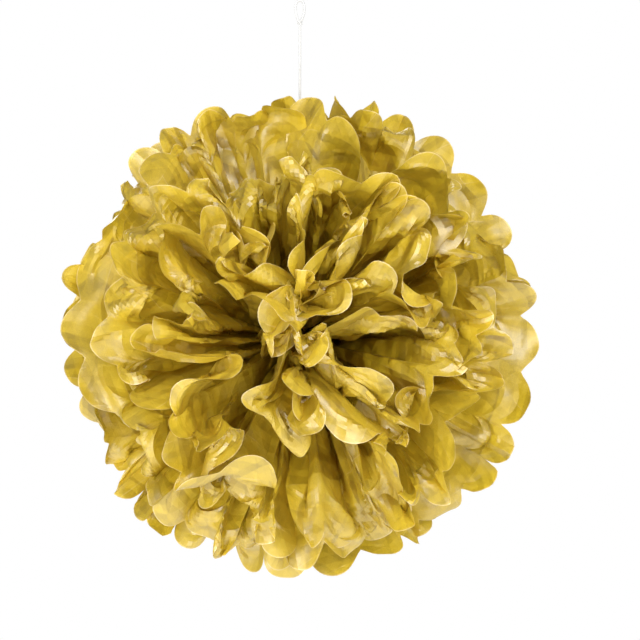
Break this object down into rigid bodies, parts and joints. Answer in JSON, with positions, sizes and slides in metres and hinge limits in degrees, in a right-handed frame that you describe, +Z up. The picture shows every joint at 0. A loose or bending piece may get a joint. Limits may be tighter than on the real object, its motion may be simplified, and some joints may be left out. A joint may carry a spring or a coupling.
{
  "type": "tissue paper pom pom",
  "caption": "Hanging ball of pleated tissue paper sheets with round petal ends, wired at the waist and hung on a thread with a loop.",
  "frame": {"origin": "where a hook bears inside the loop at the top of the thread, 268 mm above the middle of the ball", "axes": "+Z up along the thread, -Y towards the front of the ball, X along the tied waist of the sheets"},
  "size_m": [0.3988, 0.3766, 0.4711],
  "materials": {
    "tissue": "pearlescent satin, finely crumpled",
    "wire": "satin",
    "thread": "matt twisted thread"
  },
  "bodies": {
    "root": {"front_sheet_1": "tissue", "front_sheet_2": "tissue", "front_sheet_3": "tissue", "front_sheet_4": "tissue", "front_sheet_5": "tissue", "back_sheet_1": "tissue", "back_sheet_2": "tissue", "back_sheet_3": "tissue", "back_sheet_4": "tissue", "back_sheet_5": "tissue", "waist_wire": "wire", "hang_thread": "thread"}
  },
  "joints": []
}
